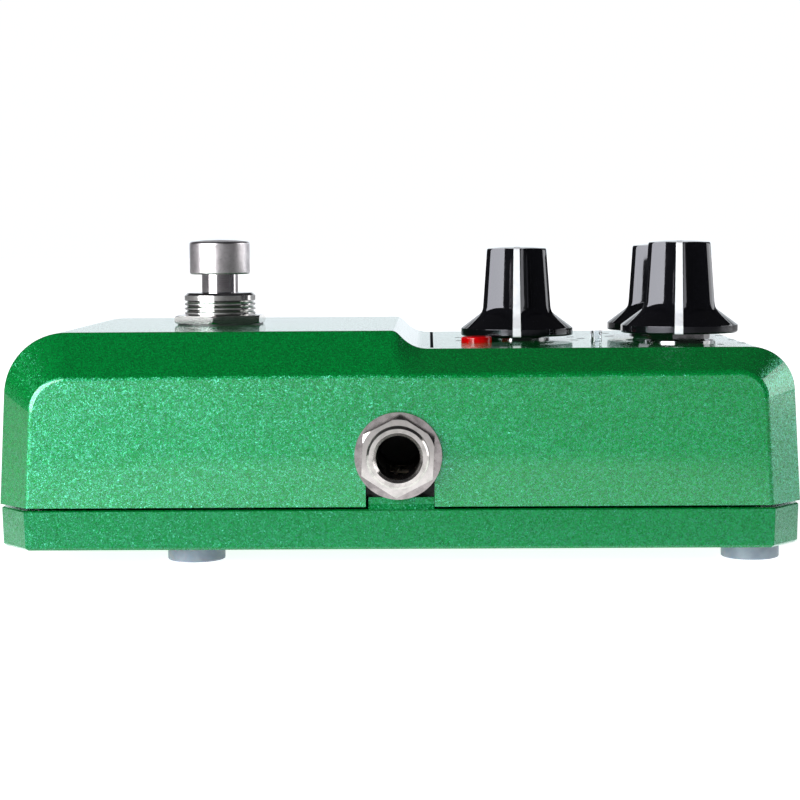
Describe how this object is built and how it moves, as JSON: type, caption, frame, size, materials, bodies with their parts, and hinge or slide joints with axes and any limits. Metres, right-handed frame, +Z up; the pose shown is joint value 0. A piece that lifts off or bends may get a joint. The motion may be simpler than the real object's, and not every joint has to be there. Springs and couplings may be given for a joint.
{
  "type": "guitar effects pedal",
  "caption": "Compact guitar effects pedal with a stepped cast enclosure, side jacks, rotary knobs, a status lamp and a foot-operated switch.",
  "frame": {"origin": "centre of the enclosure's plan, on the surface the rubber feet stand on", "axes": "+X towards the control end, -Y towards the input jack, +Z up out of the panels"},
  "size_m": [0.124, 0.0794, 0.05],
  "materials": {
    "green_lacquer": "metallic green sparkle lacquer, glossy",
    "green_lacquer_plate": "metallic green sparkle lacquer, glossy",
    "screw_steel": "blackened steel",
    "foot_rubber": "translucent grey-blue, satin",
    "jack_nickel": "bright nickel plate",
    "black_moulding": "moulded nylon, matte",
    "contact_bronze": "tinned bronze",
    "pin_nickel": "nickel plate",
    "switch_nickel": "nickel plate",
    "plunger_nickel": "satin nickel plate",
    "spring_steel": "spring steel",
    "blue_moulding": "moulded phenolic",
    "black_nylon": "satin nylon",
    "pot_nickel": "nickel plate",
    "shaft_aluminium": "turned",
    "pointer_white": "painted line",
    "knob_black": "polished black",
    "led_red": "clear red epoxy",
    "clear_acrylic": "clear acrylic",
    "board_laminate": "solder-masked laminate",
    "header_black": "moulded strip",
    "chip_black": "moulded epoxy",
    "capacitor_sleeve": "shrunk sleeve"
  },
  "bodies": {
    "enclosure": {"board_header": "header_black", "bottom_plate": "green_lacquer_plate", "bottom_screws": "screw_steel", "control_board": "board_laminate", "foot_far_left": "foot_rubber", "foot_far_right": "foot_rubber", "foot_near_left": "foot_rubber", "foot_near_right": "foot_rubber", "footswitch_base": "blue_moulding", "footswitch_board": "board_laminate", "footswitch_frame": "switch_nickel", "footswitch_lock_washer": "switch_nickel", "footswitch_lower_nut": "switch_nickel", "footswitch_lugs": "contact_bronze", "footswitch_nut": "switch_nickel", "footswitch_spring": "spring_steel", "footswitch_washer": "black_nylon", "input_jack_body": "black_moulding", "input_jack_bushing": "jack_nickel", "input_jack_contacts": "contact_bronze", "input_jack_nut": "jack_nickel", "input_jack_washer": "jack_nickel", "light_pipe": "clear_acrylic", "main_board": "board_laminate", "main_board_capacitors": "capacitor_sleeve", "main_board_chips": "chip_black", "output_jack_body": "black_moulding", "output_jack_bushing": "jack_nickel", "output_jack_contacts": "contact_bronze", "output_jack_nut": "jack_nickel", "output_jack_washer": "jack_nickel", "pot_bushing_centre": "pot_nickel", "pot_bushing_far": "pot_nickel", "pot_bushing_near": "pot_nickel", "pot_case_centre": "black_moulding", "pot_case_far": "black_moulding", "pot_case_near": "black_moulding", "pot_nuts": "pot_nickel", "pot_washers": "pot_nickel", "power_jack_body": "black_moulding", "power_jack_pin": "pin_nickel", "power_jack_terminals": "contact_bronze", "status_led": "led_red", "switch_header": "header_black", "upper_housing": "green_lacquer"},
    "switch_plunger": {"footswitch_plunger": "plunger_nickel"},
    "knob_centre_body": {"knob_centre": "knob_black", "knob_pointer_centre": "pointer_white", "set_screw_centre": "screw_steel", "pot_shaft_centre": "shaft_aluminium"},
    "knob_near_body": {"knob_near": "knob_black", "knob_pointer_near": "pointer_white", "set_screw_near": "screw_steel", "pot_shaft_near": "shaft_aluminium"},
    "knob_far_body": {"knob_far": "knob_black", "knob_pointer_far": "pointer_white", "set_screw_far": "screw_steel", "pot_shaft_far": "shaft_aluminium"}
  },
  "joints": [
    {"name": "footswitch_press", "type": "slide", "parent": "enclosure", "child": "switch_plunger", "axis": [0, 0, -1], "range_m": [0, 0.0023], "stiffness_N_per_m": 6000, "springref_m": -0.0015, "deforming": ["footswitch_spring"]},
    {"name": "knob_centre_turn", "type": "hinge", "parent": "enclosure", "child": "knob_centre_body", "pos_m": [0.01955, 0, 0.0337], "axis": [0, 0, 1], "range_deg": [-60, 240]},
    {"name": "knob_near_turn", "type": "hinge", "parent": "enclosure", "child": "knob_near_body", "pos_m": [0.04525, -0.013, 0.0346], "axis": [0, 0, 1], "range_deg": [-60, 240]},
    {"name": "knob_far_turn", "type": "hinge", "parent": "enclosure", "child": "knob_far_body", "pos_m": [0.04525, 0.013, 0.034], "axis": [0, 0, 1], "range_deg": [-60, 240]}
  ]
}
